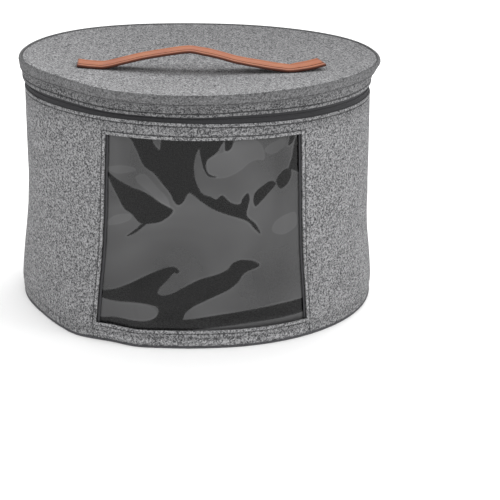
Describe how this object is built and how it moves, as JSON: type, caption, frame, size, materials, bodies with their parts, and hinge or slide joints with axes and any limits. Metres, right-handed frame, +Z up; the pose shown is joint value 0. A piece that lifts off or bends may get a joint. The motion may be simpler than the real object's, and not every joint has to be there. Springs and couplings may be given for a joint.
{
  "type": "hat box",
  "caption": "Round felt box for a hat, with a clear front window, a lid closed by a zip round its side and a flat carrying strap on top.",
  "frame": {"origin": "on the floor under the middle of the box's outline", "axes": "+Z up, -Y towards the window, +X to the right as seen from the window side"},
  "size_m": [0.4348, 0.4358, 0.3072],
  "materials": {
    "felt": "thick grey wool-like felt, mottled light and dark",
    "lid_felt": "thick grey wool-like felt, mottled light and dark",
    "dark_cloth": "dark woven tape",
    "clear_film": "clear soft plastic film, glossy and rippled",
    "tan_leather": "smooth orange-brown leather-like strap with dark edges",
    "black_elastic": "ribbed black elastic",
    "zip_metal": "dull grey metal"
  },
  "bodies": {
    "root": {"side_wall": "felt", "window_foot_strip": "felt", "floor_panel": "felt", "lid_panel": "lid_felt", "lid_skirt": "lid_felt", "lid_edge_band": "lid_felt", "back_hinge": "felt", "base_binding": "dark_cloth", "zip_tape": "dark_cloth", "window_tape_left": "dark_cloth", "window_tape_right": "dark_cloth", "window_pane": "clear_film", "handle_strap": "tan_leather", "elastic_strap_left": "black_elastic", "elastic_strap_right": "black_elastic", "zip_slider": "zip_metal"}
  },
  "joints": []
}
